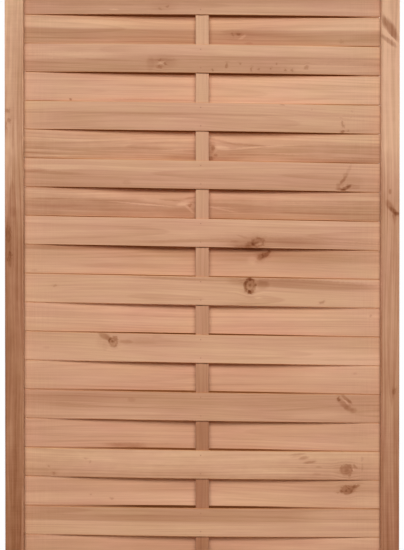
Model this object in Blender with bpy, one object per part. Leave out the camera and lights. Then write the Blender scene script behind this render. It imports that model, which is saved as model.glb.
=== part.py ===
"""A woven timber fence panel: two stiles, two rails, a centre batten and a stack of thin slats.

The slats are sprung alternately behind and in front of the batten, and their ends are housed in
a groove down each stile. Metres, +Z up. The origin is the middle of the left stile's outer face,
as seen from the front, and the front looks along -Y.
"""

import math

import bmesh
import bpy

# The whole panel
PANEL_WIDTH = 0.900
PANEL_HEIGHT = 1.800

# Frame timbers
STILE_FACE = 0.043
RAIL_FACE = 0.043
FRAME_DEPTH = 0.043
FRAME_ARRIS = 0.0035
HOUSING_DEPTH = 0.012

# Centre batten
BATTEN_WIDTH = 0.030
BATTEN_DEPTH = 0.020
BATTEN_ARRIS = 0.002
BATTEN_TENON = 0.012

# Slats
SLAT_HEIGHT = 0.0650
SLAT_THICKNESS = 0.006
SLAT_FAN = 0.0009

# Clearance between pieces that touch
FIT = 0.0003

# Mesh fineness
ARRIS_STEPS = 3
BEND_STEPS = 8

# Treated softwood, as red, green, blue and alpha in linear light
FRAME_COLOUR = (0.502, 0.258, 0.145, 1.0)
BATTEN_COLOUR = (0.584, 0.313, 0.188, 1.0)
SLAT_COLOUR = (0.558, 0.292, 0.176, 1.0)
WOOD_ROUGHNESS = 0.75

# Worked out from the sizes above
CENTRE_X = PANEL_WIDTH / 2
INNER_LEFT = STILE_FACE
INNER_RIGHT = PANEL_WIDTH - STILE_FACE
INNER_HEIGHT = PANEL_HEIGHT - 2 * RAIL_FACE
SLAT_GAP = FIT + SLAT_FAN
SLAT_PITCH = SLAT_HEIGHT + SLAT_GAP
SLAT_COUNT = math.ceil(INNER_HEIGHT / SLAT_PITCH)
RAIL_GAP = FIT + SLAT_FAN / 2
SLAT_BOW = BATTEN_DEPTH / 2 + FIT + SLAT_THICKNESS / 2
BEARING_LEFT = INNER_LEFT - HOUSING_DEPTH / 2
BEND_LENGTH = CENTRE_X - BATTEN_WIDTH / 2 - BEARING_LEFT
ENTRY_SWING = 1.5 * SLAT_BOW / BEND_LENGTH * HOUSING_DEPTH / 2
GROOVE_WIDTH = SLAT_THICKNESS + 2 * (ENTRY_SWING + FIT)


def clear_scene():
    for thing in list(bpy.data.objects):
        bpy.data.objects.remove(thing, do_unlink=True)


def wood(name, colour):
    material = bpy.data.materials.new(name)
    material.use_nodes = True
    shader = material.node_tree.nodes["Principled BSDF"]
    shader.inputs["Base Color"].default_value = colour
    shader.inputs["Roughness"].default_value = WOOD_ROUGHNESS
    shader.inputs["Metallic"].default_value = 0.0
    material.diffuse_color = colour
    return material


def add_object(name, mesh_builder, material=None, location=(0, 0, 0), rotation=(0, 0, 0)):
    mesh = bpy.data.meshes.new(name)
    mesh_builder.to_mesh(mesh)
    mesh_builder.free()
    if material:
        mesh.materials.append(material)
    piece = bpy.data.objects.new(name, mesh)
    piece.location = location
    piece.rotation_euler = rotation
    bpy.context.scene.collection.objects.link(piece)
    return piece


def corner_arc(corner_u, corner_v, radius, start_angle):
    """Points of one rounded corner, anticlockwise, about the centre of its arc."""
    points = []
    for step in range(ARRIS_STEPS + 1):
        angle = start_angle + math.pi / 2 * step / ARRIS_STEPS
        points.append((corner_u + radius * math.cos(angle), corner_v + radius * math.sin(angle)))
    return points


def timber_outline(width, depth, radius, groove=()):
    """A section with rounded arrises, anticlockwise; the groove's points go down its +u side."""
    u = width / 2 - radius
    v = depth / 2 - radius
    outline = corner_arc(u, -v, radius, -math.pi / 2)
    outline += groove
    outline += corner_arc(u, v, radius, 0)
    outline += corner_arc(-u, v, radius, math.pi / 2)
    outline += corner_arc(-u, -v, radius, math.pi)
    return outline


def extrusion(outline, length):
    """The outline as a closed prism of that length, centred, along its own Z."""
    builder = bmesh.new()
    base = [builder.verts.new((u, v, -length / 2)) for u, v in outline]
    face = builder.faces.new(base)
    lifted = bmesh.ops.extrude_face_region(builder, geom=[face])
    top = [item for item in lifted["geom"] if isinstance(item, bmesh.types.BMVert)]
    bmesh.ops.translate(builder, verts=top, vec=(0, 0, length))
    bmesh.ops.recalc_face_normals(builder, faces=builder.faces)
    return builder


def block(size_x, size_y, size_z):
    builder = bmesh.new()
    bmesh.ops.create_cube(builder, size=1.0)
    bmesh.ops.scale(builder, verts=builder.verts, vec=(size_x, size_y, size_z))
    return builder


def cut_or_join(piece, tool, operation):
    """Adds a Boolean to the piece. The tool is a guide and isn't part of the panel."""
    tool.hide_render = True
    tool.display_type = "WIRE"
    boolean = piece.modifiers.new(tool.name, "BOOLEAN")
    boolean.operation = operation
    boolean.object = tool
    boolean.solver = "EXACT"


def stile(name, outer_x, turn, material):
    """A full-height upright, grooved down its inner face for the slats and the rails' tongues."""
    inner = STILE_FACE / 2
    floor = inner - HOUSING_DEPTH
    half_groove = GROOVE_WIDTH / 2
    groove = [(inner, -half_groove), (floor, -half_groove), (floor, half_groove), (inner, half_groove)]
    outline = timber_outline(STILE_FACE, FRAME_DEPTH, FRAME_ARRIS, groove)
    middle_x = outer_x + STILE_FACE / 2 * math.cos(turn)
    prism = extrusion(outline, PANEL_HEIGHT)
    return add_object(name, prism, material, (middle_x, 0, 0), (0, 0, turn))


def rail(name, side, material):
    """A rail between the stiles: side is +1 at the top and -1 at the bottom."""
    middle_z = side * (PANEL_HEIGHT - RAIL_FACE) / 2
    shoulder_length = INNER_RIGHT - INNER_LEFT - 2 * FIT
    outline = timber_outline(RAIL_FACE, FRAME_DEPTH, FRAME_ARRIS)
    prism = extrusion(outline, shoulder_length)
    piece = add_object(name, prism, material, (CENTRE_X, 0, middle_z), (0, math.pi / 2, 0))

    tongue_length = shoulder_length + 2 * HOUSING_DEPTH
    tongue = block(tongue_length, GROOVE_WIDTH - 2 * FIT, RAIL_FACE - 2 * FRAME_ARRIS)
    tongues = add_object(name + "_tongues", tongue, None, (CENTRE_X, 0, middle_z))
    cut_or_join(piece, tongues, "UNION")

    inner_z = side * INNER_HEIGHT / 2
    mortise = block(BATTEN_WIDTH + 2 * FIT, BATTEN_DEPTH + 2 * FIT, 2 * (BATTEN_TENON + FIT))
    socket = add_object(name + "_mortise", mortise, None, (CENTRE_X, 0, inner_z))
    cut_or_join(piece, socket, "DIFFERENCE")
    return piece


def centre_batten(material):
    """The upright that the slats are woven round, with its ends let into the rails."""
    outline = timber_outline(BATTEN_WIDTH, BATTEN_DEPTH, BATTEN_ARRIS)
    prism = extrusion(outline, INNER_HEIGHT + 2 * BATTEN_TENON)
    return add_object("centre_batten", prism, material, (CENTRE_X, 0, 0))


def slat_stations():
    """Distances from the panel's middle along a slat, with its bend there as a share of the bow.

    Each half bends like a strip carried at the stile and pressed out at the batten's edge, and
    lies flat across the batten.
    """
    end = CENTRE_X - BEARING_LEFT + HOUSING_DEPTH / 2 - FIT
    flat = BATTEN_WIDTH / 2
    half = []
    for step in range(BEND_STEPS + 1):
        distance = end + (flat - end) * step / BEND_STEPS
        share = 1 - (distance - flat) / BEND_LENGTH
        half.append((distance, (3 * share - share**3) / 2))
    left = [(-distance, bend) for distance, bend in half]
    return left + half[::-1]


def slat_lift(index):
    """How much higher a slat's left end lies than its right, from the slack in the stack."""
    return 2 * SLAT_FAN * SLAT_COUNT / math.pi * math.sin(math.pi * (index + 0.5) / SLAT_COUNT)


def slat_places():
    """Each slat's height and the Z of its middle, from the top; the first and last are ripped."""
    full_slats = SLAT_COUNT - 2
    spare = INNER_HEIGHT - full_slats * SLAT_PITCH - SLAT_GAP - 2 * RAIL_GAP
    heights = [spare / 2] + [SLAT_HEIGHT] * full_slats + [spare / 2]
    top = INNER_HEIGHT / 2 - RAIL_GAP
    places = []
    for height in heights:
        places.append((height, top - height / 2))
        top -= height + SLAT_GAP
    return places


def slat(index, height, middle_z, material):
    """One thin board, bowed in front of the batten or behind it, with its ends cut plumb."""
    side = -1 if index % 2 else 1
    slope = -slat_lift(index) / (INNER_RIGHT - INNER_LEFT)
    builder = bmesh.new()
    rings = []
    for along, bend in slat_stations():
        y = side * SLAT_BOW * bend
        z = slope * along
        front = y - SLAT_THICKNESS / 2
        back = y + SLAT_THICKNESS / 2
        corners = [(front, z - height / 2), (back, z - height / 2)]
        corners += [(back, z + height / 2), (front, z + height / 2)]
        rings.append([builder.verts.new((along, *corner)) for corner in corners])
    for ring, following in zip(rings, rings[1:]):
        for corner in range(4):
            after = (corner + 1) % 4
            builder.faces.new((ring[corner], ring[after], following[after], following[corner]))
    builder.faces.new(rings[0])
    builder.faces.new(rings[-1])
    bmesh.ops.recalc_face_normals(builder, faces=builder.faces)
    return add_object(f"slat_{index + 1:02d}", builder, material, (CENTRE_X, 0, middle_z))


def build_panel():
    clear_scene()
    frame_wood = wood("frame_wood", FRAME_COLOUR)
    batten_wood = wood("batten_wood", BATTEN_COLOUR)
    slat_wood = wood("slat_wood", SLAT_COLOUR)

    pieces = [
        stile("left_stile", 0.0, 0.0, frame_wood),
        stile("right_stile", PANEL_WIDTH, math.pi, frame_wood),
        rail("top_rail", 1, frame_wood),
        rail("bottom_rail", -1, frame_wood),
        centre_batten(batten_wood),
    ]
    for index, (height, middle_z) in enumerate(slat_places()):
        pieces.append(slat(index, height, middle_z, slat_wood))

    panel = bpy.data.objects.new("fence_panel", None)
    bpy.context.scene.collection.objects.link(panel)
    for piece in pieces:
        piece.parent = panel


build_panel()
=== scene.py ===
import math
import random

import bmesh
import bpy
import numpy as np
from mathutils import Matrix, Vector, noise


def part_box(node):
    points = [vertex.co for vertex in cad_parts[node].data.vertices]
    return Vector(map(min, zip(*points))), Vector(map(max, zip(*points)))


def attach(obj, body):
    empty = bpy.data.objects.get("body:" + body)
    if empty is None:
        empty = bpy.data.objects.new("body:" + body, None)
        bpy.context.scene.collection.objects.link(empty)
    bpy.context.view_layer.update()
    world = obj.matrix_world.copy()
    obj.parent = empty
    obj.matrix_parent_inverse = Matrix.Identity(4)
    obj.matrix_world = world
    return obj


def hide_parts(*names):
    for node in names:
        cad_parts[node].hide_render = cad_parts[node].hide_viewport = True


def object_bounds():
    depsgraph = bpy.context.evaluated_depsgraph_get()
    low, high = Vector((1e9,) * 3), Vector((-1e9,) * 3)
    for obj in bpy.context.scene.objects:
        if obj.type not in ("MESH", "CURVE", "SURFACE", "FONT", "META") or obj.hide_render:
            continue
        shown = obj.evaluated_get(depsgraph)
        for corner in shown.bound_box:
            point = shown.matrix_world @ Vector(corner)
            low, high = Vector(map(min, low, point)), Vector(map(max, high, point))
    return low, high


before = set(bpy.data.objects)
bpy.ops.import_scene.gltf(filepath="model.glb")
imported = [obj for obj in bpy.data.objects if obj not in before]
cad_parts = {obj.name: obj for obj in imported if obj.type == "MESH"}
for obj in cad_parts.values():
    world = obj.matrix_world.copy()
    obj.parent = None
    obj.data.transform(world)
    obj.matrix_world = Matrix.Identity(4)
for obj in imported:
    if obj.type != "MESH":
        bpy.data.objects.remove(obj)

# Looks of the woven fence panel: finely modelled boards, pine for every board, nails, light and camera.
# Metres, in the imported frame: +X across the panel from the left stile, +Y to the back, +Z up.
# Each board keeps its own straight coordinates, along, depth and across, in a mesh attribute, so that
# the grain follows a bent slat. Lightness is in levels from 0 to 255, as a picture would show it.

cad_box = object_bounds()

MM = 0.001
WOOD_PLACE = "wood_place"
WHITE = (1.0, 1.0, 1.0, 1.0)

# Camera
IMAGE_HEIGHT = 550
SENSOR = 36.0
CAMERA_DISTANCE = 3.1
PIXEL_SIZE = 0.002278
AIM_X = 0.4495
AIM_Z = 0.0031
CAMERA_RISE = 0.029

# Light
LOW_AIM = (0.45, 0.0, -0.6)
MIDDLE_AIM = (0.45, 0.0, 0.0)
FRONT_SPREAD = 107
AMBIENT = 0.03
FLOOR_RADIUS = 1.25
FLOOR_SIDES = 128
FLOOR_FADE = (0.55, 1.20)
FLOOR_COLOUR = (0.85, 0.845, 0.83, 1.0)
FLOOR_BOUNCE = (0.26, 0.20, 0.15, 1.0)

# Lamps by name, as place, aim, size, power in watts and spread in degrees
LAMPS = {
    "key": ((0.38, -3.8, 1.2), LOW_AIM, (3.4, 1.2), 47.6, FRONT_SPREAD),
    "soft": ((0.45, -3.5, 1.55), LOW_AIM, (4.0, 1.5), 21.5, FRONT_SPREAD),
    "top": ((0.45, 0.0, 1.7), MIDDLE_AIM, (1.0, 0.16), 2.4, FRONT_SPREAD),
    "back": ((0.45, 3.4, 1.0), MIDDLE_AIM, (1.2, 0.8), 104.0, 180),
    "left_side": ((-2.6, 0.35, 0.6), MIDDLE_AIM, (0.8, 1.2), 42.0, 180),
    "right_side": ((3.5, 0.35, 0.6), MIDDLE_AIM, (0.8, 1.2), 42.0, 180),
}

# Painted colour of what shows in the slits from the front, by height in metres: painted shade for the
# unlit undersides above the eye, and painted light for the edges that catch light from above below it
PAINTED_SLIT_SHADE_AND_LIGHT = [
    (-0.90, (84, 44, 24)), (-0.58, (96, 54, 30)), (-0.46, (106, 58, 30)), (-0.38, (122, 70, 40)),
    (-0.26, (126, 74, 42)), (-0.13, (100, 54, 28)), (-0.04, (142, 90, 58)), (0.02, (146, 94, 62)),
    (0.05, (84, 38, 16)), (0.90, (86, 42, 20)),
]
# Painted colour the slits fade to near the stiles, and how far from the middle and how high the fades
# run
PAINTED_SLIT_ENDS = (176, 124, 94)
HIGH_SLIT_FADE = (0.33, 0.40)
LOW_SLIT_FADE = (0.12, 0.36)
LOW_SLIT_TOP = (0.04, 0.01)
SHADE_OVERLAP = 2 * MM
SLAT_REACH = 16.3 * MM    # from the panel's middle plane to a bowed slat's outer face

# Boards
EDGE_ROUND = 0.9 * MM
SLAT_STATIONS = 200
SLAT_FACE_STEPS = 18
UPRIGHT_STEP = 6 * MM
FACE_STEPS = 4
ARC_STEPS = 5
TIMBER_ARRIS = 3.5 * MM
BATTEN_ARRIS = 1.0 * MM
GROOVE_DEPTH = 12 * MM
GROOVE_WIDTH = 7.2 * MM
TENON_GAP = 0.3 * MM
SHARP_ANGLE = 38

# Unevenness and wear of the boards
EDGE_WAVE = 0.5 * MM
BROAD_DIP = 0.22 * MM
FINE_DIP = 0.10 * MM
KNOT_DIP = 0.25 * MM
ARRIS_WEAR = 0.45 * MM
TIMBER_DIP = 0.12 * MM
RAIL_DIP = 0.3 * MM

# Nails
NAIL_RADIUS = 1.2 * MM
NAIL_RISE = 0.35 * MM
NAIL_SINK = 0.15 * MM
NAIL_SHANK = 24 * MM
NAIL_SIDES = 16
NAIL_ACROSS = 21 * MM
NAIL_FROM_EDGE = 10 * MM
NAIL_ASIDE = -3.5 * MM
NAIL_SHARP_ANGLE = 40
NAIL_COLOURS = ((158, 108, 80), (176, 124, 94))
NAIL_SPECKLE = 900

# Pine's colour at each lightness, as red, green and blue levels
PINE_COLOURS = [
    (70, (112, 56, 30)),
    (100, (140, 88, 58)),
    (126, (167, 115, 85)),
    (148, (187, 138, 107)),
    (161, (200, 151, 121)),
    (172, (209, 162, 130)),
    (186, (222, 176, 143)),
]
PINK = (1.03, 0.965, 1.07, 1.0)
YELLOW = (0.975, 1.035, 0.93, 1.0)
HUE_MIDDLE, HUE_SPREAD = 0.55, 0.08
# Painted warm shade on a slat's edges: the tint, and the distances from the board's middle over which
# it comes in
PAINTED_EDGE_SHADE = (1.0, 0.85, 0.60, 1.0)
PAINTED_EDGE_SHADE_BAND = (31.2 * MM, 32.3 * MM)

# Growth rings round a pith behind the board, and how far they and the grain stray
PITH_ASIDE = 22 * MM
PITH_BEHIND = (22 * MM, 60 * MM)
RING_SPACING = (3.0 * MM, 4.6 * MM)
LATE_RISE, LATE_FALL = (0.45, 0.93), (1.0, 0.94)
TAPER = 24 * MM
WANDER = 30 * MM

# Patterns in the wood, as waves in a metre along, across and through the board
SEED_SHIFT = 3.7
RAGGED_WAVES = (160.0, 240.0, 240.0)
SWAY_WAVES = (90.0, 110.0, 110.0)
PATCH_WAVES = (70.0, 85.0)
WANDER_WAVES = (1.7, 9.0, 9.0)
STREAK_WAVES = (3.0, 230.0, 230.0)
FIBRE_WAVES = (16.0, 1100.0, 1100.0)
BAND_WAVES = (1.4, 55.0, 30.0)
BLOTCH_WAVES = (6.0, 18.0, 18.0)
MOTTLE_WAVES = (38.0, 60.0, 38.0)
SAW_WAVES = (420.0, 14.0)
HUE_WAVES = (7.0, 20.0, 9.0)

# How many levels the patterns change the wood by
RING_LEVELS = (5.0, 26.0)
STREAK_LEVELS = 30.0
FIBRE_LEVELS = 22.0
BAND_LEVELS = 20.0
BLOTCH_LEVELS = 15.0
MOTTLE_LEVELS = 16.0
SAW_LEVELS = 11.0
SAWN_ENDS = (0.27, 0.40)

# Surface of the wood
SHINE = 0.1
ROUGHNESS = 0.72
BUMP_STRENGTH = 0.35
BUMP_HEIGHT = 0.4 * MM

# How far the outlines of knots and of marks stray along and across the board
KNOT_DRIFT = (12 * MM, 10 * MM)
MARK_DRIFT = (6 * MM, 3 * MM)

# A knot's parts, by distance from its middle in half sizes, and each part's share of its depth. A
# knot whose half length times half height is above RINGED_KNOT has a rim, a fill and a core.
RINGED_KNOT = 70 * MM * MM
HALO, HALO_SHARE = (2.6, 0.9), 0.18
RIM_OUTSIDE, RIM_INSIDE = (1.32, 1.08), (0.55, 0.85)
FILL, FILL_SHARE = (1.15, 0.85), 0.38
CORE, CORE_SHARE = (0.45, 0.12), 0.6
PLAIN_KNOT, PLAIN_SHARE = (1.3, 0.6), 0.85
GRAIN_PULL, PULL_SHARE = (3.0, 0.4), 0.45

# Stretches of a slat between the batten and the stiles, as the middle and half length in millimetres
LEFT_END = (-300, 110)
LEFT = (-118, 95)
RIGHT = (119, 95)
RIGHT_END = (310, 110)


# Shader terms

def linear(levels):
    """Red, green and blue levels as linear light with an alpha of 1."""
    shares = [level / 255 for level in levels]
    light = [s / 12.92 if s <= 0.04045 else ((s + 0.055) / 1.055) ** 2.4 for s in shares]
    return (*light, 1.0)


def connect(tree, socket, value):
    """Links a term or a socket to an input, or sets the input to a plain value."""
    if isinstance(value, Term):
        tree.links.new(value.socket, socket)
    elif isinstance(value, bpy.types.NodeSocket):
        tree.links.new(value, socket)
    else:
        socket.default_value = value


def add(tree, kind, **inputs):
    """A new shader node with these inputs linked or set."""
    node = tree.nodes.new(f"ShaderNode{kind}")
    for name, value in inputs.items():
        connect(tree, node.inputs[name], value)
    return node


def maths(tree, operation, *values):
    node = add(tree, "Math")
    node.operation = operation
    for socket, value in zip(node.inputs, values):
        connect(tree, socket, value)
    return Term(tree, node.outputs[0])


class Term:
    """A number that varies over a surface: a node's output, with ordinary arithmetic."""

    def __init__(self, tree, socket):
        self.tree = tree
        self.socket = socket

    def __add__(self, other):
        return maths(self.tree, "ADD", self, other)

    def __sub__(self, other):
        return maths(self.tree, "SUBTRACT", self, other)

    def __mul__(self, other):
        return maths(self.tree, "MULTIPLY", self, other)

    def fraction(self):
        return maths(self.tree, "FRACT", self)

    def size(self):
        return maths(self.tree, "ABSOLUTE", self)

    def ramp_up(self, low, high):
        """0 below low and 1 above high, with a smooth step between; low may be the greater."""
        node = add(self.tree, "MapRange")
        node.interpolation_type = "SMOOTHSTEP"
        connect(self.tree, node.inputs["Value"], self)
        node.inputs["From Min"].default_value = min(low, high)
        node.inputs["From Max"].default_value = max(low, high)
        node.inputs["To Min"].default_value = 0.0 if low < high else 1.0
        node.inputs["To Max"].default_value = 1.0 if low < high else 0.0
        return Term(self.tree, node.outputs["Result"])


def point(tree, x=0.0, y=0.0, z=0.0):
    node = add(tree, "CombineXYZ")
    for socket, value in zip(node.inputs, (x, y, z)):
        connect(tree, socket, value)
    return node.outputs[0]


def noise_at(tree, place, detail=2.0, roughness=0.5):
    """Soft noise about zero, mostly within a quarter of one each way."""
    node = add(tree, "TexNoise", Vector=place, Scale=1.0, Detail=detail, Roughness=roughness)
    return Term(tree, node.outputs[0]) - 0.5


def length_of(tree, place):
    node = add(tree, "VectorMath")
    node.operation = "LENGTH"
    tree.links.new(place, node.inputs[0])
    return Term(tree, node.outputs["Value"])


def parts_of(tree, place):
    """A place's three coordinates as terms."""
    node = add(tree, "SeparateXYZ")
    tree.links.new(place, node.inputs[0])
    return [Term(tree, output) for output in node.outputs]


def oval(tree, place, mark):
    """Distance from a mark's middle, in units of its own half length and half height."""
    node = add(
        tree, "Mapping", Vector=place, Location=(mark["along"], mark["across"], 0),
        Rotation=(0, 0, math.radians(mark["turn"])),
        Scale=(mark["half_length"], mark["half_height"], 1),
    )
    node.vector_type = "TEXTURE"
    return length_of(tree, node.outputs[0])


def pattern(tree, place, waves, offsets=(0, 0, 0), detail=2.0, roughness=0.5):
    """Soft noise about zero over a place in the board, with so many waves in a metre each way."""
    scaled = [part * count for part, count in zip(place, waves)]
    moved = [part + offset if offset else part for part, offset in zip(scaled, offsets)]
    return noise_at(tree, point(tree, *moved), detail, roughness)


def ramp(tree, value, stops):
    """A colour that goes in straight runs between stops of (value, colour)."""
    low, high = stops[0][0], stops[-1][0]
    node = add(tree, "ValToRGB")
    connect(tree, node.inputs[0], (value - low) * (1 / (high - low)))
    while len(node.color_ramp.elements) < len(stops):
        node.color_ramp.elements.new(1.0)
    for element, (place, colour) in zip(node.color_ramp.elements, stops):
        element.position = (place - low) / (high - low)
        element.color = colour
    return node.outputs[0]


def stepped(tree, value, stops):
    """A lightness that goes in straight runs between stops of (place, lightness)."""
    greys = [(place, (level / 255, level / 255, level / 255, 1)) for place, level in stops]
    return Term(tree, ramp(tree, value, greys)) * 255.0


def coloured(tree, value, stops):
    """A colour that goes in straight runs between stops of (value, colour in levels)."""
    return ramp(tree, value, [(place, linear(levels)) for place, levels in stops])


def tinted(tree, factor, low, high, blend="MIX"):
    node = add(tree, "Mix")
    node.data_type = "RGBA"
    node.blend_type = blend
    connect(tree, node.inputs[0], factor)
    connect(tree, node.inputs[6], low)
    connect(tree, node.inputs[7], high)
    return node.outputs[2]


# Pine

def mark(along, across, half_length, half_height, change, turn=0.0, soft=0.5):
    """A lighter or darker oval on a board, given in millimetres, levels and degrees."""
    return {
        "along": along * MM, "across": across * MM,
        "half_length": half_length * MM, "half_height": half_height * MM,
        "change": change, "turn": turn, "soft": soft,
    }


def knot(along, across, half_length, half_height, depth, turn=0.0):
    """A knot's oval in millimetres, and how many levels darker its rim is than the wood."""
    return mark(along, across, half_length, half_height, -depth, turn)


def tones(stretch, *patches):
    """Lighter or darker bands along one stretch, as (millimetres across, half height, change)."""
    along, half_length = stretch
    return [mark(along, across, half_length, half, change) for across, half, change in patches]


def board(bands=(), marks=(), knots=(), seed=0, rising=None, streaks=1.0):
    """What tells one board from another.

    bands are (millimetres across, lightness) from a level board's lower edge up. An upright has
    rising instead, as (millimetres above the panel's middle, lightness).
    """
    return {
        "bands": [(place * MM, lightness) for place, lightness in bands],
        "marks": list(marks), "knots": list(knots), "seed": seed,
        "rising": rising and [(place * MM, lightness) for place, lightness in rising],
        "streaks": streaks,
    }


def with_knots(tree, look, lightness, across, flat, ragged, sway, patch):
    """The lightness, the grain's place across the board, and the stain, with the knots in."""
    grain = across
    stain = None
    for spot in look["knots"]:
        far = oval(tree, flat, spot)
        halo = far.ramp_up(*HALO) * HALO_SHARE
        if spot["half_length"] * spot["half_height"] > RINGED_KNOT:
            near = far + sway * 0.6 + ragged * 0.2
            rim = near.ramp_up(*RIM_OUTSIDE) * near.ramp_up(*RIM_INSIDE)
            fill = near.ramp_up(*FILL) * FILL_SHARE
            core = far.ramp_up(*CORE) * CORE_SHARE
            dark = rim * (patch * 0.62 + 0.18) + fill + core + halo
        else:
            near = far + ragged * 0.8
            dark = near.ramp_up(*PLAIN_KNOT) * PLAIN_SHARE + halo
        stain = dark if stain is None else stain + dark
        lightness = lightness + dark * spot["change"]
        grain = grain - (across - spot["across"]) * far.ramp_up(*GRAIN_PULL) * PULL_SHARE
    return lightness, grain, stain


def late_wood(tree, draw, along, depth, grain, wander, shift):
    """The dark part of each growth ring, and how strongly that ring shows."""
    pith_across = draw.uniform(-PITH_ASIDE, PITH_ASIDE)
    pith_depth = draw.uniform(*PITH_BEHIND)
    spacing = draw.uniform(*RING_SPACING)
    taper = noise_at(tree, point(tree, along * 1.3 + shift, 5.0, 0.0), 1.0) * TAPER
    side = grain - pith_across
    back = depth - pith_depth + taper
    radius = maths(tree, "SQRT", side * side + back * back)
    turns = radius * (1 / spacing) + wander * 1.5
    ring = turns.fraction()
    late = ring.ramp_up(*LATE_RISE) * ring.ramp_up(*LATE_FALL)
    vigour = noise_at(tree, point(tree, turns * 0.43, along * 0.8, shift), 1.0)
    return late, vigour * RING_LEVELS[1] + RING_LEVELS[0]


def pine(name, look):
    """A planed or fine-sawn pine board: rings, fibres, bands, marks, knots and drift of hue."""
    material = bpy.data.materials.new(name)
    material.use_nodes = True
    tree = material.node_tree
    shader = tree.nodes["Principled BSDF"]
    draw = random.Random(look["seed"])
    shift = SEED_SHIFT * look["seed"]
    streaks = look["streaks"]

    source = add(tree, "Attribute")
    source.attribute_name = WOOD_PLACE
    along, depth, across = parts_of(tree, source.outputs["Vector"])
    place = (along, across, depth)

    # Knots darken the wood and turn the grain aside, and marks have no straight outlines
    ragged = pattern(tree, place, RAGGED_WAVES, (shift, 0, 0))
    sway = pattern(tree, place, SWAY_WAVES, (-shift, 0, 0))
    flat = point(tree, along + sway * KNOT_DRIFT[0], across + ragged * KNOT_DRIFT[1])
    calm = point(tree, along + sway * MARK_DRIFT[0], across + ragged * MARK_DRIFT[1])
    spread = point(tree, along * PATCH_WAVES[0] + shift, across * PATCH_WAVES[1], shift)
    patch = noise_at(tree, spread).ramp_up(-0.12, 0.12)
    if look["rising"]:
        lightness = stepped(tree, along, look["rising"])
    else:
        lightness = stepped(tree, across, look["bands"])
    lightness, grain, stain = with_knots(tree, look, lightness, across, flat, ragged, sway, patch)

    # The grain wanders slowly across the board, and the growth rings with it
    wander = pattern(tree, place, WANDER_WAVES, (shift, 0, 0), 1.0)
    grain = grain + wander * WANDER
    late, strength = late_wood(tree, draw, along, depth, grain, wander, shift)
    lightness = lightness - late * strength * streaks

    # Streaks, fibres, blotches and broad bands that follow the grain
    fibrous = (along, grain, depth)
    streak = pattern(tree, fibrous, STREAK_WAVES, (shift, 0, 0), 3.0, 0.6)
    fibre = pattern(tree, fibrous, FIBRE_WAVES, (0, shift, 0), 2.0, 0.6)
    band = pattern(tree, fibrous, BAND_WAVES, (shift, 0, 0), 1.0)
    blotch = pattern(tree, place, BLOTCH_WAVES, (0, shift, 0))
    mottle = pattern(tree, place, MOTTLE_WAVES, (shift, 0, 0))
    lightness = lightness + streak * (STREAK_LEVELS * streaks) + fibre * FIBRE_LEVELS
    lightness = lightness + band * (BAND_LEVELS * streaks) + blotch * (BLOTCH_LEVELS * streaks)
    lightness = lightness + mottle * (MOTTLE_LEVELS * max(streaks - 0.9, 0.0))

    for spot in look["marks"]:
        far = oval(tree, calm, spot) + ragged * 0.25
        lightness = lightness + far.ramp_up(1 + spot["soft"], 1 - spot["soft"]) * spot["change"]

    # Faint saw marks across the board towards its ends
    saw = noise_at(tree, point(tree, along * SAW_WAVES[0], across * SAW_WAVES[1] + shift), 1.0)
    lightness = lightness + saw * along.size().ramp_up(*SAWN_ENDS) * SAW_LEVELS

    # The hue drifts between pink and yellow, and a slat's edges are tinted browner as painted warm
    # shade for where they show in the slits
    hue = pattern(tree, place, HUE_WAVES, (shift, 0, 0))
    tone = noise_at(tree, point(tree, along * 1.5 - shift, 2.0, 0.0), 1.0)
    turn = hue * 0.8 + tone * 0.45 + (HUE_MIDDLE + draw.uniform(-HUE_SPREAD, HUE_SPREAD))
    tint = tinted(tree, turn, PINK, YELLOW)
    colour = tinted(tree, 1.0, coloured(tree, lightness, PINE_COLOURS), tint, "MULTIPLY")
    if not look["rising"]:
        painted_edge_shade = across.size().ramp_up(*PAINTED_EDGE_SHADE_BAND)
        colour = tinted(tree, 1.0, colour, tinted(tree, painted_edge_shade, WHITE, PAINTED_EDGE_SHADE), "MULTIPLY")
    tree.links.new(colour, shader.inputs["Base Color"])

    connect(tree, shader.inputs["Roughness"], fibre * 0.25 + late * 0.06 + ROUGHNESS)
    shader.inputs["Specular IOR Level"].default_value = SHINE
    relief = fibre * 0.8 - late * 0.25 + streak * 0.4
    if stain is not None:
        relief = relief - stain * 0.5
    bump = add(tree, "Bump", Strength=BUMP_STRENGTH, Distance=BUMP_HEIGHT, Height=relief)
    tree.links.new(bump.outputs[0], shader.inputs["Normal"])
    return material
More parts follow.
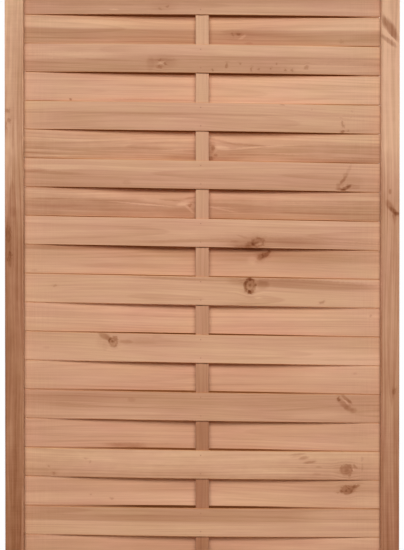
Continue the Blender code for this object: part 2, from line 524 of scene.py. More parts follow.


# What each slat looks like, from the top. On the odd-numbered back slats, marks along the top edge are
# painted shadow under the front slat above, or painted light that lifts that shadow
NAIL_STAINS = [mark(NAIL_ASIDE / MM, side * NAIL_ACROSS / MM, 2.2, 2.0, -4) for side in (-1, 1)]
SLAT_LOOKS = {
    1: board([(-33, 158), (0, 164), (33, 166)]),
    2: board([(-33, 153), (4, 155), (7, 168), (33, 170)], knots=[knot(-205, 4, 7, 5, 40)]),
    3: board([(-33, 163), (10, 168), (33, 162)]),
    4: board(
        [(-33, 160), (-14, 158), (-4, 151), (12, 154), (33, 162)],
        marks=[
            mark(170, -22, 240, 10, 5), mark(-88, -14, 30, 12, -7), mark(-200, -22, 10, 1.6, 14),
            mark(300, -10, 160, 14, 5),
        ],
        knots=[knot(-78, -15, 3.5, 3, 18), knot(-96, -20, 3, 2.5, 12)],
    ),
    5: board(
        [(-33, 151), (-24, 149), (1, 148), (6, 171), (20, 178), (33, 174)],
        marks=[
            # tones(LEFT, (28, 5, -9)) is painted shadow under the front slat above
            *tones(LEFT_END, (12, 9, 13), (-25, 5, 7)), *tones(LEFT, (28, 5, -9)),
            *tones(RIGHT_END, (-2, 12, 13)), mark(0, -8, 230, 24, -5), mark(83, -9, 34, 11, -6),
            mark(92, -13, 9, 3, 14, 35), mark(360, 16, 90, 14, 5), mark(390, -12, 40, 10, -6),
            mark(345, -26, 60, 2, 10), mark(107, -27, 9, 3, -10),
        ],
        knots=[knot(84, -6, 5, 4, 24), knot(70, -6, 2.5, 5, 14), knot(320, -23, 5, 3, 14)],
    ),
    6: board(
        [(-33, 154), (-20, 151), (-4, 152), (4, 156), (8, 171), (33, 172)],
        marks=[
            *tones(LEFT_END, (-10, 9, -6), (5, 7, 12), (-6, 4, -6)), *tones(LEFT, (-14, 5, -5)),
            *tones(RIGHT, (4, 5, -6)),
            *tones(RIGHT_END, (5, 5, -7), (-20, 12, 16), (-2, 6, 8), (26, 8, 8)),
            mark(-92, -4, 34, 3, -12), mark(-118, -14, 8, 16, -9), mark(-92, -10, 11, 2.4, 13, 20),
            mark(-92, -12, 11, 2.0, 12, -30), mark(-88, -10, 26, 18, -8),
            mark(-350, -2, 120, 8, 10), mark(20, -2, 70, 2, -7), mark(300, -4, 120, 3, -4),
        ],
        knots=[
            knot(-84, -13, 4.5, 4, 22), knot(-97, -4, 4, 3.5, 16), knot(-98, -21, 6, 4, 20),
            knot(22, -26, 3, 2.5, 20), knot(57, -16, 3, 6, 22, -15), knot(86, -11, 2.5, 2.5, 18),
            knot(112, -23, 3, 5, 20), knot(129, -23, 2.5, 2.5, 18), knot(156, -21, 2.5, 3, 20),
            knot(170, -10, 2, 2.5, 16), knot(189, -24, 2.5, 3.5, 22), knot(206, -24, 3, 3, 24),
            knot(238, -16, 3, 6, 20, -25),
        ],
    ),
    7: board(
        [(-33, 169), (0, 172), (12, 170), (18, 177), (28, 179), (33, 174)],
        marks=[
            # The tones at 26 mm and the mark at 29 mm are painted shadow under the front slat above
            *tones(LEFT_END, (26, 5, -8), (20, 10, -5)), *tones(LEFT, (-28, 5, -6)),
            *tones(RIGHT, (14, 6, 5)), mark(-119, 29, 95, 4, -6), mark(-119, -29, 95, 5, -6),
            mark(200, 0, 250, 28, 4), mark(300, -5, 140, 26, 5), mark(300, 4, 110, 3, -7),
        ],
        knots=[knot(-301, -29, 2.5, 2, 36)],
    ),
    8: board(
        [(-33, 160), (-5, 163), (3, 163), (5, 156), (8, 157), (10, 168), (33, 170)],
        marks=[
            *tones(LEFT_END, (-24, 7, -6)), *tones(RIGHT, (8, 10, 7)),
            *tones(RIGHT_END, (-4, 22, 7)), mark(-60, -5, 50, 1.4, 9), mark(-130, 4, 90, 2, -7),
            mark(120, 5, 90, 1.8, -6),
        ],
        knots=[
            knot(321, -12, 2.5, 9, 22, 12), knot(321, -29, 4, 2.5, 34), knot(332, -27, 3, 2, 20),
            knot(184, 30, 5, 2, 18), knot(251, 20, 2, 2, 10), knot(343, 20, 2, 2, 10),
            knot(340, 4, 2, 2, 9),
        ],
    ),
    9: board(
        [(-33, 150), (-12, 155), (5, 157), (9, 167), (33, 171)],
        marks=[
            *tones(LEFT_END, (4, 5, 8)), *tones(LEFT, (2, 5, 7)),
            # The tones at 26 and 30 mm and the mark at 30 mm are painted shadow under the front slat
            # above
            *tones(RIGHT, (26, 6, -15), (30, 4, -13)),
            *tones(RIGHT_END, (-28, 5, -7), (4, 5, -9), (-26, 5, -9)), mark(-119, 30, 95, 4, -6),
            mark(48, 12, 32, 2.8, -14, -12), mark(108, 5, 36, 2.0, -11, -4),
            mark(46, -2, 17, 5, 16, -8), mark(100, -2, 38, 2, 17, 5), mark(170, 4, 52, 1.4, 14, 3),
            # mark(22, 0, 8, 24, -10) is painted shade beside the batten
            mark(190, -17, 100, 2, -9, 1), mark(60, -24, 50, 8, -7, 6), mark(22, 0, 8, 24, -10),
            mark(29, -12, 6, 2, 10, 40), mark(60, 22, 60, 6, -5), mark(-62, -9, 42, 1.5, 15, 3),
            mark(-42, -25, 44, 7, -9), mark(-360, -27, 50, 1.6, 15),
            mark(190, -14, 60, 1.2, 10, -2), mark(-300, -3, 120, 8, -3),
            mark(-355, -13, 40, 1.5, 9),
        ],
        knots=[knot(25, -3, 5, 6, 26), knot(30, -19, 4, 3.5, 20), knot(20, -28, 5, 4, 22)],
        streaks=1.5,
    ),
    10: board(
        [(-33, 150), (-20, 155), (5, 160), (10, 166), (33, 168)],
        marks=[
            *tones(LEFT_END, (4, 5, -6), (-26, 5, -6), (-16, 10, -5)), mark(0, -14, 300, 6, 4),
            mark(322, -7, 11, 3, -26, 52), mark(328, 5, 5, 5, -14), mark(336, 18, 13, 3.6, -9, 66),
            mark(327, -19, 5, 4, 8, 40), mark(317, -27.5, 10, 2.6, -26),
            mark(329, -24.5, 10, 4.5, -34, 28), mark(350, -22, 9, 5, -9), mark(311, -21, 4, 6, -14),
            mark(318, -15, 9, 8, -6), mark(342, -8, 24, 16, -5), mark(-173, -20, 9, 6, -7),
            mark(-345, 12, 70, 7, 8, 2), mark(-345, 0, 70, 4, -12, -3),
        ],
        knots=[knot(336, -20.5, 5, 4.5, 24), knot(324, -29, 7, 2.5, 22)],
    ),
    11: board(
        [(-33, 146), (-10, 144), (5, 147), (9, 158), (14, 165), (33, 164)],
        marks=[
            # The tones at 27 and 29 mm and the marks at 25, 28 and 31.5 mm are painted shadow under the
            # front slat above
            *tones(LEFT_END, (27, 5, -6), (29, 4, -9), (-3, 9, -8)), *tones(RIGHT, (4, 5, 9)),
            *tones(RIGHT_END, (4, 5, 6), (-15, 5, -7)), mark(-119, 25, 95, 6, -18),
            mark(-119, 28, 95, 4, -12), mark(0, 31.5, 200, 4.5, -26, soft=0.6),
            mark(-138, -2, 74, 1.7, 20, -4), mark(-85, 4, 55, 5, 13, -4),
            mark(-43, 1, 15, 5, 16, 20), mark(-28, -13, 14, 3, 14, -40),
            mark(-74, 8, 24, 1.8, -15, -3), mark(-24, 15, 14, 2.2, -18, 8),
            mark(-50, -20, 36, 9, -7), mark(45, -7, 28, 1.5, 12, -3), mark(-350, 7, 50, 2, -14, 1),
            mark(45, -11, 30, 1.8, 14, -10), mark(64, -1, 60, 4, -8), mark(-345, -4, 66, 9, -6),
            mark(-300, 1, 70, 6, 6), mark(-220, 5, 60, 4, -6, -3),
        ],
        knots=[knot(-29, -3, 4.5, 4.5, 26)],
        streaks=1.5,
    ),
    12: board(
        [(-33, 161), (0, 165), (33, 169)],
        marks=[
            *tones(LEFT, (-26, 5, -5)), *tones(RIGHT, (-14, 16, -6)), *tones(RIGHT_END, (26, 5, 7)),
            mark(150, -20, 120, 12, -9), mark(88, -26, 26, 7, -10), mark(92, -7, 12, 2.2, -11, -15),
            mark(220, -14, 75, 10, -8), mark(370, -18, 70, 2, -13, -1), mark(118, -23, 5, 4, -16),
            mark(106, -30, 9, 4, -14), mark(132, -25, 6, 4, 10), mark(300, -22, 150, 9, -6),
            mark(111, -23, 13, 4.5, -26, 8), mark(95, -30, 20, 4, -18), mark(74, -18, 8, 3, -8),
            mark(-55, -20, 76, 4, -10, 3),
        ],
        knots=[knot(127, -20, 14, 11, 30)],
    ),
    13: board(
        [(-33, 168), (0, 165), (15, 160), (33, 156)],
        marks=[
            # The tones at 26 mm and the marks at 29 and 31 mm are painted shadow under the front slat
            # above
            *tones(LEFT_END, (26, 6, -13)), *tones(LEFT, (26, 6, -11), (15, 6, -5)),
            *tones(RIGHT, (27, 5, -6)), mark(-230, 29, 190, 4, -10), mark(0, 0, 400, 30, -3),
            mark(0, 31, 200, 4, -20, soft=0.6), mark(200, 9, 200, 10, -8),
            mark(150, 24, 150, 9, -12), mark(-70, 23, 80, 6, -9, -2), mark(115, 6, 10, 10, 8),
            mark(330, 20, 70, 8, -4), mark(-385, -26, 8, 2, -8), mark(118, 29, 22, 4, -18),
        ],
        knots=[knot(147, 20, 12, 5.5, 40, 38), knot(133, 13.5, 8, 8, 27)],
    ),
    14: board(
        [(-33, 167), (0, 169), (12, 168), (33, 168)],
        marks=[
            *tones(LEFT_END, (9, 9, -3)), mark(150, 24, 150, 12, -8), mark(250, 9, 180, 10, -5),
            mark(0, 27, 200, 4, -7), mark(-62, 26, 84, 3.2, -12, -1.5),
            mark(250, 18, 150, 10.5, -20, -1.4, soft=0.3), mark(138, 17, 13, 10, -19),
            mark(109, 14.5, 12, 15, -12, soft=0.3), mark(98, 10, 4, 12, -12),
            mark(79, 23, 20, 8, -11), mark(98, -20, 30, 9, -4), mark(128, -14, 8, 1.5, 12),
            mark(121.5, 13, 2.5, 8, -12), mark(111, 13.6, 3, 3, -16),
        ],
        knots=[
            knot(109, 14.5, 12.5, 15.5, 30), knot(110, 29, 8, 3.5, 26), knot(100, 20, 4, 5, 14),
            knot(108, -0.7, 6, 3.6, 50), knot(98, 5, 3.5, 4, 22), knot(274, -22, 6, 3, 24, 30),
            knot(-337, 5, 5, 2, 15),
        ],
        streaks=0.9,
    ),
    15: board(
        [(-33, 166), (0, 167), (33, 169)],
        marks=[
            # The tones at 28 mm are painted light that lifts the shadow under the front slat above; the
            # mark at 31 mm is painted shadow
            *tones(LEFT_END, (28, 5, 8)), *tones(LEFT, (28, 5, 9), (-22, 10, -6)),
            *tones(RIGHT, (28, 5, 14)), mark(0, 31, 200, 4, -14, soft=0.6),
            mark(300, 0, 140, 28, 3), mark(-270, 18, 110, 6, 6),
        ],
        knots=[knot(387, 16, 2.5, 4, 18)],
    ),
    16: board(
        [(-33, 171), (0, 168), (15, 164), (33, 163)],
        marks=[
            *tones(LEFT, (12, 9, -8)), mark(-222, 24, 15, 6.5, -28, -28), mark(-232, 12, 9, 14, -6),
            mark(-216, 20, 9, 5, -10, -42), mark(-206, 13, 8, 9, -12), mark(-203, 13.5, 3, 3, -14),
            mark(-202, 1, 9, 4, -6, -20), mark(-174, 13, 14, 4.5, -18), mark(-135, 11, 28, 4, -7),
            mark(-222, 2, 6, 10, -7), mark(-357, -4, 8, 3, -6), mark(-103, 26, 12, 3, -6),
            mark(300, -16, 150, 16, 5), mark(-120, 16, 60, 7, -4),
        ],
        knots=[knot(-204, 12.5, 9.5, 10.5, 30)],
        streaks=0.9,
    ),
    17: board(
        [(-33, 161), (0, 165), (33, 169)],
        # The mark at 31 mm is painted shadow under the front slat above
        marks=[mark(0, 31, 200, 4, -18, soft=0.6), mark(330, 10, 110, 18, 4)],
        knots=[knot(350, 14, 4, 2, 12)],
    ),
    18: board(
        [(-33, 161), (-9, 163), (-4, 154), (18, 150), (33, 154)],
        marks=[
            *tones(LEFT_END, (16, 8, -5)), mark(330, 22, 16, 3.6, -24, -42),
            mark(338, 17, 6, 3.2, -16, -42), mark(330, 14, 10, 2, 16, -50),
            mark(329, 6, 18, 7, -23, -38), mark(331, 2, 5, 4, -10), mark(347, -4, 7, 6, -16),
            mark(340, -12, 30, 10, -3), mark(-330, 3, 80, 2.4, -8, -1),
            mark(-300, -4, 60, 2, -7, -2), mark(-162, 13, 9, 5, -9),
        ],
        knots=[knot(312, 21.5, 4, 4.5, 38)],
    ),
    19: board(
        [(-33, 160), (0, 162), (33, 163)],
        marks=[
            # The tones at 28 and 29 mm are painted light that lifts the shadow under the front slat
            # above
            *tones(LEFT, (28, 5, 9), (29, 5, 9), (-27, 5, -7)), *tones(RIGHT, (28, 5, 8)),
            mark(200, -18, 200, 8, 7), mark(-170, -27, 34, 6, -14), mark(-205, -26, 20, 5, -8),
            mark(-150, -31, 20, 3, -10),
        ],
    ),
    20: board(
        [(-33, 158), (-15, 161), (0, 167), (20, 171), (33, 169)],
        marks=[
            *tones(LEFT_END, (-14, 16, -5)), *tones(RIGHT, (-12, 10, 5), (-20, 10, 9), (10, 8, 6)),
            *tones(RIGHT_END, (26, 8, 6)), mark(218, 26, 17, 2.4, -20, 6),
            mark(233, 18, 11, 3.2, -27, 8), mark(212, 20, 12, 2, -10, 8),
            mark(246, 8, 13, 2.8, -27, 8), mark(267, -3, 8, 2.2, -12), mark(262, -19, 10, 2.2, -10),
            mark(228, -5, 12, 2, -7), mark(340, -4, 60, 22, -4), mark(367, 16, 2.5, 6, -11),
            mark(367, -4, 2.5, 9, -11), mark(350, -1, 6, 2.6, -20, -50),
            mark(346, -7, 6, 2, 12, -50), mark(331, -9, 12, 9, -16),
        ],
        knots=[
            knot(331, -10, 14, 12, 22), knot(337, -23, 3, 4, 18), knot(-340, -26, 4, 3, 18),
            knot(-352, -10, 3, 3, 14), knot(-266, 10, 5, 2, 14), knot(-258, 2, 4, 2, 12),
        ],
        streaks=1.6,
    ),
    21: board(
        [(-33, 168), (-8, 169), (0, 163), (5, 158), (33, 160)],
        marks=[
            # The mark at 29 mm is painted light that lifts the shadow under the front slat above
            *tones(RIGHT_END, (-28, 4, -9), (-27, 7, 7)), mark(336, 11, 15, 8, -18, 22, soft=0.35),
            mark(347, 8, 6, 4, -14, 30), mark(0, 29, 260, 2.2, 22, soft=0.6),
            mark(0, 0, 230, 32, 5), mark(0, -18, 220, 14, 4), mark(345, 16, 90, 16, -3),
            mark(320, -20, 30, 3, -6),
        ],
        knots=[
            knot(331, 9, 12, 10, 30), knot(352, 18, 9, 4.5, 34, 24), knot(311, 3, 6, 2, 16),
            knot(-256, -8, 3, 2.5, 18), knot(-208, -17, 3, 2.5, 16),
        ],
    ),
    22: board(
        [(-33, 168), (-5, 167), (-1, 163), (3, 149), (20, 149), (33, 151)],
        marks=[mark(340, 12, 110, 18, 12)],
    ),
    23: board(
        [(-33, 160), (0, 157), (33, 158)],
        marks=[
            # The tones and marks at 27.5 to 30 mm are painted light that lifts the shadow under the
            # front slat above
            *tones(LEFT_END, (17, 6, -3)), *tones(RIGHT, (28, 5, 10)), mark(60, 30, 400, 4, 6),
            mark(0, 27.5, 260, 2.5, 34, soft=0.6), mark(-300, 18, 120, 8, -2),
            mark(-300, 28, 120, 6, 4), mark(300, 28, 150, 8, 10), mark(250, 14, 180, 16, 12),
        ],
    ),
    24: board([(-33, 156), (4, 158), (8, 166), (33, 168)], knots=[knot(170, -6, 8, 6, 36)]),
    25: board([(-33, 162), (33, 165)], knots=[knot(-290, 8, 6, 5, 32)]),
    26: board([(-33, 163), (0, 158), (33, 161)]),
}

LEFT_LOOK = board(
    seed=41, streaks=2.2,
    rising=[
        (-900, 107), (-520, 119), (-400, 119), (-285, 121), (-170, 121), (60, 120), (170, 145),
        (290, 164), (400, 162), (500, 163), (570, 170), (630, 179), (900, 178),
    ],
    marks=[
        # The three long marks are painted light on the inner arris and inner side face, and painted
        # shade on the outer arris
        mark(0, 20.5, 1500, 3, 7, soft=0.3), mark(0, 22.6, 1500, 2, 26, soft=0.3),
        mark(0, -21, 1500, 2.5, -8, soft=0.3), mark(147, -3, 13, 6, -10),
        mark(225, -9, 22, 4, 10), mark(325, -2, 30, 2, -12), mark(100, -9, 60, 3, -8),
    ],
    knots=[
        knot(376, -15, 5, 5, 28), knot(355, -11, 6, 5, 26), knot(340, -19, 12, 3, 20),
        knot(100, -13, 20, 5, 18), knot(39, -10, 15, 5, 20), knot(-640, 6, 9, 7, 30),
    ],
)
RIGHT_LOOK = board(
    seed=42, streaks=1.7,
    rising=[
        (-900, 114), (-520, 126), (-285, 138), (-170, 146), (-55, 150), (60, 152), (170, 148),
        (290, 180), (400, 183), (520, 185), (630, 185), (900, 180),
    ],
    marks=[
        # The two long marks are painted shade on the inner arris and painted light on the inner side
        # face
        mark(0, -19.5, 1500, 2.2, -9, soft=0.3), mark(0, -22.6, 1500, 2, 18, soft=0.3),
        mark(563, 0, 29, 9, -50, -30), mark(546, -1, 27, 2.6, 34, -47, soft=0.3),
        mark(537, -6, 21, 4.5, -38, -52), mark(578, -14, 14, 5, -22, -10),
        mark(160, -1, 14, 6.5, -26, -32), mark(149, 8, 13, 5, -28, -48), mark(133, 9, 12, 5, -12),
        mark(193, -1, 5.5, 3, -26), mark(240, -4, 60, 3, -6), mark(20, 10, 90, 4, -9),
        mark(-120, -8, 70, 4, 8), mark(-330, 12, 60, 4, -7), mark(-420, -6, 70, 5, 7),
    ],
    knots=[knot(142, 14, 6, 6.5, 34, -40), knot(-263, 9, 7, 5, 18), knot(-700, -5, 8, 6, 28)],
)
BATTEN_LOOK = board(
    seed=43, streaks=0.8,
    rising=[
        (-900, 112), (-520, 126), (-345, 127), (-205, 144), (25, 154), (185, 163), (320, 166),
        (590, 178), (900, 176),
    ],
)
TOP_LOOK = board([(-25, 163), (25, 168)], seed=44, knots=[knot(170, 4, 9, 6, 32)])
BOTTOM_LOOK = board([(-25, 116), (25, 120)], seed=45, knots=[knot(-240, -3, 8, 6, 28)])


# Board meshes

def arc(centre_depth, centre_across, radius, start):
    angles = [math.radians(start + 90 * step / ARC_STEPS) for step in range(ARC_STEPS + 1)]
    return [(centre_depth + radius * math.cos(a), centre_across + radius * math.sin(a)) for a in angles]


def section(thickness, width, radius, face_steps, edge_steps, groove=()):
    """An eased rectangle as (depth, across) points, with points spread over its faces.

    The groove's points go into the side of +across.
    """
    half_depth, half_across = thickness / 2 - radius, width / 2 - radius
    corners = [
        arc(half_depth, -half_across, radius, -90), arc(half_depth, half_across, radius, 0),
        arc(-half_depth, half_across, radius, 90), arc(-half_depth, -half_across, radius, 180),
    ]
    counts = [face_steps, edge_steps, face_steps, edge_steps]
    outline = []
    for index, (corner, count) in enumerate(zip(corners, counts)):
        outline += corner
        start, end = corner[-1], corners[(index + 1) % 4][0]
        if groove and index == 1:
            outline += groove
            continue
        for step in range(1, count):
            share = step / count
            outline.append(tuple(a + (b - a) * share for a, b in zip(start, end)))
    return np.array(outline)


def placed(name, data, place=(0, 0, 0)):
    """An object made of this data, put into the scene."""
    thing = bpy.data.objects.new(name, data)
    thing.location = place
    bpy.context.scene.collection.objects.link(thing)
    return thing


def mesh_from(name, builder):
    mesh = bpy.data.meshes.new(name)
    builder.to_mesh(mesh)
    builder.free()
    return mesh


def smooth_mesh(name, builder, material, sharp_angle):
    """A smoothly shaded mesh, with edges kept sharp above an angle in degrees."""
    bmesh.ops.recalc_face_normals(builder, faces=builder.faces)
    mesh = mesh_from(name, builder)
    mesh.materials.append(material)
    mesh.shade_smooth()
    mesh.set_sharp_from_angle(angle=math.radians(sharp_angle))
    return mesh


def bridge(builder, rings):
    """Faces between each ring of points and the following one; a ring may be a single point."""
    for ring, following in zip(rings, rings[1:]):
        count = max(len(ring), len(following))
        for index in range(count):
            pair = (index, (index + 1) % count)
            corners = [ring[place % len(ring)] for place in pair]
            corners += [following[place % len(following)] for place in pair[::-1]]
            builder.faces.new(list(dict.fromkeys(corners)))


def solid(name, places, woods, material):
    """A closed piece through rings of points, with each point's place in the straight board."""
    builder = bmesh.new()
    rows = [[builder.verts.new(place) for place in ring] for ring in places]
    bridge(builder, rows)
    builder.faces.new(rows[0][::-1])
    builder.faces.new(rows[-1])
    middle = (places.min(axis=(0, 1)) + places.max(axis=(0, 1))) / 2
    bmesh.ops.translate(builder, verts=builder.verts, vec=-Vector(middle))
    mesh = smooth_mesh(name, builder, material, SHARP_ANGLE)
    attribute = mesh.attributes.new(WOOD_PLACE, "FLOAT_VECTOR", "POINT")
    attribute.data.foreach_set("vector", woods.astype(np.float32).ravel())
    piece = placed(name, mesh, middle)
    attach(piece, "root")
    return piece


def rolling(x, y, z):
    """Smooth noise between 0 and 1."""
    return 0.5 + 0.5 * noise.noise(Vector((x, y, z)))


# Slats

def slat_shape(node):
    """A slat's height, thickness, middle, slope, bow and half length, read from its solid."""
    points = np.array([vertex.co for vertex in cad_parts[node].data.vertices])
    low, high = points.min(axis=0), points.max(axis=0)
    left = points[points[:, 0] < low[0] + MM]
    right = points[points[:, 0] > high[0] - MM]
    middle_x = (low[0] + high[0]) / 2
    left_z, right_z = left[:, 2].mean(), right[:, 2].mean()
    thickness = left[:, 1].max() - left[:, 1].min()
    side = 1 if high[1] > -low[1] else -1
    return {
        "height": left[:, 2].max() - left[:, 2].min(),
        "thickness": thickness,
        "middle": (middle_x, (left_z + right_z) / 2),
        "slope": (right_z - left_z) / (high[0] - low[0]),
        "bow": side * (max(high[1], -low[1]) - thickness / 2),
        "half_length": (high[0] - low[0]) / 2,
    }


def bend(distance, half_length, flat):
    """The bow's share at a distance from the middle, for a strip that lies flat on the batten."""
    bearing = half_length - GROOVE_DEPTH / 2 + TENON_GAP
    share = 1 - (max(distance, flat) - flat) / (bearing - flat)
    return (3 * share - share**3) / 2


def slat(number, batten_half):
    node = f"slat_{number:02d}"
    shape = slat_shape(node)
    look = SLAT_LOOKS[number]
    look["seed"] = number
    is_front = shape["bow"] < 0
    if is_front:
        look["marks"] += NAIL_STAINS
    half = shape["half_length"]
    outline = section(shape["thickness"], shape["height"], EDGE_ROUND, SLAT_FACE_STEPS, 2)
    places = np.zeros((SLAT_STATIONS + 1, len(outline), 3))
    woods = np.zeros_like(places)
    for station in range(SLAT_STATIONS + 1):
        along = -half + 2 * half * station / SLAT_STATIONS
        lean = shape["bow"] * bend(abs(along), half, batten_half)
        edges = [EDGE_WAVE * rolling(along * 7, number * 5.1, side * 3.3) ** 2 for side in (-1, 1)]
        for index, (depth, across) in enumerate(outline):
            sunk = BROAD_DIP * rolling(along * 9, across * 90 + number * 7.3, depth * 200)
            sunk += FINE_DIP * rolling(along * 30, across * 400, depth * 300 + number)
            for spot in look["knots"]:
                far_along = (along - spot["along"]) / spot["half_length"]
                far_across = (across - spot["across"]) / spot["half_height"]
                sunk += KNOT_DIP * math.exp(-((math.hypot(far_along, far_across) - 1.0) ** 2) * 5)
            face = max(-1.0, min(1.0, depth / (shape["thickness"] / 2 - EDGE_ROUND)))
            edge = edges[0] if across < 0 else edges[1]
            share = across / (shape["height"] / 2)
            y = lean + depth - face * sunk
            z = shape["middle"][1] + shape["slope"] * along + across - share * edge
            places[station, index] = (shape["middle"][0] + along, y, z)
            woods[station, index] = (along, depth, across)
    piece = solid(f"{node}_board", places, woods, pine(f"pine_{node}", look))
    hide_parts(node)
    return shape


# Frame timbers

def timber(name, node, outline, look, mirror=1):
    """An upright over a node's full height, its across axis to +X, with worn arrises."""
    low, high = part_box(node)
    middle = (low + high) / 2
    length = high[2] - low[2]
    count = round(length / UPRIGHT_STEP)
    seed = look["seed"]
    reach = np.abs(outline).max()
    places = np.zeros((count + 1, len(outline), 3))
    woods = np.zeros_like(places)
    for station in range(count + 1):
        along = -length / 2 + length * station / count
        for index, (depth, across) in enumerate(outline):
            corner = min(abs(depth), abs(across)) / reach
            wear = ARRIS_WEAR * rolling(along * 13, depth * 60 + seed, across * 60) ** 2 * corner**4
            wear += TIMBER_DIP * rolling(along * 5, depth * 50 + seed, across * 50)
            scale = 1 - wear / reach
            x, y = middle[0] + across * scale * mirror, middle[1] + depth * scale
            places[station, index] = (x, y, middle[2] + along)
            woods[station, index] = (along, depth, across * mirror)
    piece = solid(name, places, woods, pine(f"pine_{node}", look))
    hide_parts(node)


def stile(name, node, look, mirror):
    low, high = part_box(node)
    half = (high[0] - low[0]) / 2
    groove = [
        (GROOVE_WIDTH / 2, half), (GROOVE_WIDTH / 2, half - GROOVE_DEPTH),
        (-GROOVE_WIDTH / 2, half - GROOVE_DEPTH), (-GROOVE_WIDTH / 2, half),
    ]
    outline = section(high[1] - low[1], high[0] - low[0], TIMBER_ARRIS, FACE_STEPS, FACE_STEPS, groove)
    timber(name, node, outline, look, mirror)


def block(name, low, high):
    """A plain closed box between two corners."""
    builder = bmesh.new()
    bmesh.ops.create_cube(builder, size=1.0)
    bmesh.ops.scale(builder, verts=builder.verts, vec=[b - a for a, b in zip(low, high)])
    bmesh.ops.translate(builder, verts=builder.verts, vec=[(a + b) / 2 for a, b in zip(low, high)])
    return placed(name, mesh_from(name, builder))


def shaped(piece, tool, operation):
    """Applies a Boolean to a piece and removes the tool."""
    boolean = piece.modifiers.new(operation.lower(), "BOOLEAN")
    boolean.operation = operation
    boolean.object = tool
    boolean.solver = "EXACT"
    graph = bpy.context.evaluated_depsgraph_get()
    mesh = bpy.data.meshes.new_from_object(piece.evaluated_get(graph))
    piece.modifiers.clear()
    piece.data = mesh
    bpy.data.objects.remove(tool, do_unlink=True)


def rail(name, node, look, side, inner):
    """A rail with a tongue at each end and a mortise for the batten's end."""
    low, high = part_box(node)
    height = high[2] - low[2]
    shoulder = inner[0] + TENON_GAP, inner[1] - TENON_GAP
    outline = section(high[1] - low[1], height, TIMBER_ARRIS, FACE_STEPS, FACE_STEPS)
    middle = (low + high) / 2
    length = shoulder[1] - shoulder[0]
    count = round(length / UPRIGHT_STEP)
    reach = np.abs(outline).max()
    places = np.zeros((count + 1, len(outline), 3))
    for station in range(count + 1):
        along = -length / 2 + length * station / count
        for index, (depth, across) in enumerate(outline):
            wear = RAIL_DIP * rolling(along * 13, depth * 60 + look["seed"], across * 60)
            scale = 1 - wear / reach
            y, z = middle[1] + depth * scale, middle[2] + across * scale
            places[station, index] = (middle[0] + along, y, z)
    woods = places - np.array(middle)
    piece = solid(name, places, woods, pine(f"pine_{node}", look))
    half_groove = GROOVE_WIDTH / 2 - TENON_GAP
    half_tongue = height / 2 - TIMBER_ARRIS
    tongues = block(
        "tongues",
        (low[0], -half_groove, middle[2] - half_tongue),
        (high[0], half_groove, middle[2] + half_tongue),
    )
    shaped(piece, tongues, "UNION")
    batten_low, batten_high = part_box("centre_batten")
    face = low[2] if side > 0 else high[2]
    end = batten_high[2] + TENON_GAP if side > 0 else batten_low[2] - TENON_GAP
    bottom, top = sorted((end, face - side * MM))
    socket = block(
        "socket",
        (batten_low[0] - TENON_GAP, batten_low[1] - TENON_GAP, bottom),
        (batten_high[0] + TENON_GAP, batten_high[1] + TENON_GAP, top),
    )
    shaped(piece, socket, "DIFFERENCE")
    attributes = piece.data.attributes
    attribute = attributes.get(WOOD_PLACE) or attributes.new(WOOD_PLACE, "FLOAT_VECTOR", "POINT")
    straight = [tuple(piece.matrix_world @ vertex.co - middle) for vertex in piece.data.vertices]
    attribute.data.foreach_set("vector", np.array(straight, np.float32).ravel())
    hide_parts(node)


# Nails

def steel():
    """Dull wire nail heads, browned by the wood's treatment."""
    material = bpy.data.materials.new("nail_steel")
    material.use_nodes = True
    tree = material.node_tree
    shader = tree.nodes["Principled BSDF"]
    place = add(tree, "TexCoord")
    scaled = add(tree, "Mapping", Vector=place.outputs["Object"], Scale=[NAIL_SPECKLE] * 3)
    speckle = noise_at(tree, scaled.outputs[0], 3.0) + 0.5
    colour = tinted(tree, speckle, *[linear(levels) for levels in NAIL_COLOURS])
    tree.links.new(colour, shader.inputs["Base Color"])
    connect(tree, shader.inputs["Roughness"], speckle * 0.3 + 0.4)
    shader.inputs["Metallic"].default_value = 0.25
    return material


def nail_heads(name, spots, material):
    """Round, slightly domed heads with their shanks, as one mesh; spots are (place, facing)."""
    profile = [
        (0.0, NAIL_RISE), (0.55, NAIL_RISE * 0.86), (0.88, NAIL_RISE * 0.5), (1.0, 0.0),
        (0.97, -0.3 * MM), (0.55, -0.45 * MM), (0.5, -NAIL_SHANK), (0.0, -NAIL_SHANK - 2 * MM),
    ]
    turns = [2 * math.pi * index / NAIL_SIDES for index in range(NAIL_SIDES)]
    builder = bmesh.new()
    for (x, y, z), facing in spots:
        rings = []
        for share, rise in profile:
            radius = NAIL_RADIUS * share
            height = y + facing * rise
            ring = [(x + radius * math.cos(t), height, z + radius * math.sin(t)) for t in turns]
            rings.append([builder.verts.new(corner) for corner in (ring if share else ring[:1])])
        bridge(builder, rings)
    piece = placed(name, smooth_mesh(name, builder, material, NAIL_SHARP_ANGLE))
    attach(piece, "root")


# Surroundings

def plain_tree(name, mesh):
    """An empty node tree of a new material on a mesh."""
    material = bpy.data.materials.new(name)
    material.use_nodes = True
    material.node_tree.nodes.clear()
    mesh.materials.append(material)
    return material.node_tree


def white_for_rays(tree):
    """1 for camera rays and for reflected and transmitted ones, and 0 for light on the object."""
    path = add(tree, "LightPath")
    names = ("Is Camera Ray", "Is Glossy Ray", "Is Transmission Ray")
    camera, glossy, transmission = [Term(tree, path.outputs[name]) for name in names]
    return maths(tree, "MAXIMUM", maths(tree, "MAXIMUM", camera, glossy), transmission)


def show_mixed(tree, output_kind, factor, first, second):
    """Shows the first shader where the factor is 0 and the second where it is 1."""
    node = add(tree, "MixShader")
    connect(tree, node.inputs[0], factor)
    tree.links.new(first.outputs[0], node.inputs[1])
    tree.links.new(second.outputs[0], node.inputs[2])
    tree.links.new(node.outputs[0], add(tree, output_kind).inputs["Surface"])


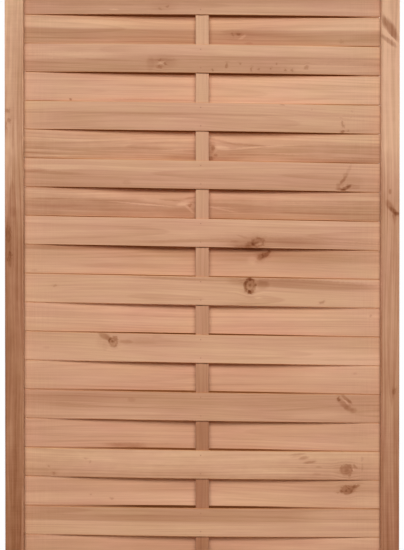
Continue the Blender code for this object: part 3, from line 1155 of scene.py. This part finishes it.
def make_world():
    world = bpy.data.worlds.new("studio")
    bpy.context.scene.world = world
    world.use_nodes = True
    tree = world.node_tree
    tree.nodes.clear()
    ambient = add(tree, "Background", Color=WHITE, Strength=AMBIENT)
    white = add(tree, "Background", Color=WHITE)
    show_mixed(tree, "OutputWorld", white_for_rays(tree), ambient, white)


def make_floor(bottom):
    """A pale disc under the panel that fades to the white background at its rim."""
    builder = bmesh.new()
    bmesh.ops.create_circle(builder, cap_ends=True, radius=FLOOR_RADIUS, segments=FLOOR_SIDES)
    mesh = mesh_from("floor", builder)
    floor = placed("floor", mesh, (cad_box[1].x / 2, 0, bottom))
    tree = plain_tree("pale_floor", mesh)
    bounced = add(tree, "LightPath").outputs["Is Diffuse Ray"]
    diffuse = add(tree, "BsdfDiffuse", Color=tinted(tree, bounced, FLOOR_COLOUR, FLOOR_BOUNCE))
    glow = add(tree, "Emission")
    place = add(tree, "TexCoord")
    far = length_of(tree, place.outputs["Object"]).ramp_up(*FLOOR_FADE)
    show_mixed(tree, "OutputMaterial", far * white_for_rays(tree), diffuse, glow)


def make_shade(name, inner, y, facing):
    """Painted shade and light in the slits: a glowing sheet that shows on one side only and casts no
    shadow.
    """
    half_z = (cad_box[1].z - cad_box[0].z) / 2 - 2 * TIMBER_ARRIS
    left, right = inner[0] - SHADE_OVERLAP, inner[1] + SHADE_OVERLAP
    corners = [(left, y, -half_z), (right, y, -half_z), (right, y, half_z), (left, y, half_z)]
    mesh = bpy.data.meshes.new(name)
    mesh.from_pydata(corners if facing < 0 else corners[::-1], [], [(0, 1, 2, 3)])
    sheet = placed(name, mesh)
    tree = plain_tree(name, mesh)
    side = add(tree, "NewGeometry")
    place = add(tree, "TexCoord")
    across, _, rise = parts_of(tree, place.outputs["Object"])
    aside = (across - (left + right) / 2).size()
    low_fade = aside.ramp_up(*LOW_SLIT_FADE) * rise.ramp_up(*LOW_SLIT_TOP)
    fade = maths(tree, "MAXIMUM", aside.ramp_up(*HIGH_SLIT_FADE), low_fade)
    painted_slit_colour = tinted(tree, fade, coloured(tree, rise, PAINTED_SLIT_SHADE_AND_LIGHT), linear(PAINTED_SLIT_ENDS))
    # The sheet glows in the painted slit colour, though it is no lamp
    dark = add(tree, "Emission", Color=painted_slit_colour)
    clear = add(tree, "BsdfTransparent")
    show_mixed(tree, "OutputMaterial", side.outputs["Backfacing"], dark, clear)
    sheet.visible_shadow = False
    sheet.visible_diffuse = False
    sheet.visible_glossy = False
    sheet.visible_transmission = False


def lamp(name, place, aim, size, power, spread):
    data = bpy.data.lights.new(name, "AREA")
    data.shape = "RECTANGLE"
    data.size, data.size_y = size
    data.energy = power
    data.spread = math.radians(spread)
    light = placed(name, data, place)
    light.rotation_euler = (Vector(aim) - light.location).to_track_quat("-Z", "Y").to_euler()
    light.visible_camera = False


def make_camera(front):
    data = bpy.data.cameras.new("camera")
    data.sensor_width = SENSOR
    data.lens = SENSOR * CAMERA_DISTANCE / (PIXEL_SIZE * IMAGE_HEIGHT)
    camera = placed("camera", data, (AIM_X, front - CAMERA_DISTANCE, AIM_Z + CAMERA_RISE))
    aim = Vector((AIM_X, front, AIM_Z))
    camera.rotation_euler = (aim - camera.location).to_track_quat("-Z", "Y").to_euler()
    bpy.context.scene.camera = camera


def build():
    inner = (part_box("left_stile")[1].x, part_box("right_stile")[0].x)
    batten_low, batten_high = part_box("centre_batten")
    batten_half = (batten_high.x - batten_low.x) / 2

    stile("left_stile_timber", "left_stile", LEFT_LOOK, 1)
    stile("right_stile_timber", "right_stile", RIGHT_LOOK, -1)
    outline = section(batten_high.y - batten_low.y, 2 * batten_half, BATTEN_ARRIS, FACE_STEPS, 2)
    timber("centre_batten_timber", "centre_batten", outline, BATTEN_LOOK)
    rail("top_rail_timber", "top_rail", TOP_LOOK, 1, inner)
    rail("bottom_rail_timber", "bottom_rail", BOTTOM_LOOK, -1, inner)

    heads = {-1: [], 1: []}
    for number in sorted(SLAT_LOOKS):
        shape = slat(number, batten_half)
        facing = -1 if shape["bow"] < 0 else 1
        surface = shape["bow"] + facing * (shape["thickness"] / 2 - NAIL_SINK)
        for side in (-1, 1):
            across = side * min(NAIL_ACROSS, shape["height"] / 2 - NAIL_FROM_EDGE)
            place = (shape["middle"][0] + NAIL_ASIDE, surface, shape["middle"][1] + across)
            heads[facing].append((place, facing))
    metal = steel()
    nail_heads("nails_front", heads[-1], metal)
    nail_heads("nails_back", heads[1], metal)

    make_world()
    make_floor(cad_box[0].z)
    shade_y = (cad_box[1].y + SLAT_REACH) / 2
    make_shade("shade_behind", inner, shade_y, -1)
    make_shade("shade_in_front", inner, -shade_y, 1)
    for name, settings in LAMPS.items():
        lamp(name, *settings)
    make_camera(cad_box[0].y)
    bpy.context.scene.view_settings.view_transform = "Standard"


build()
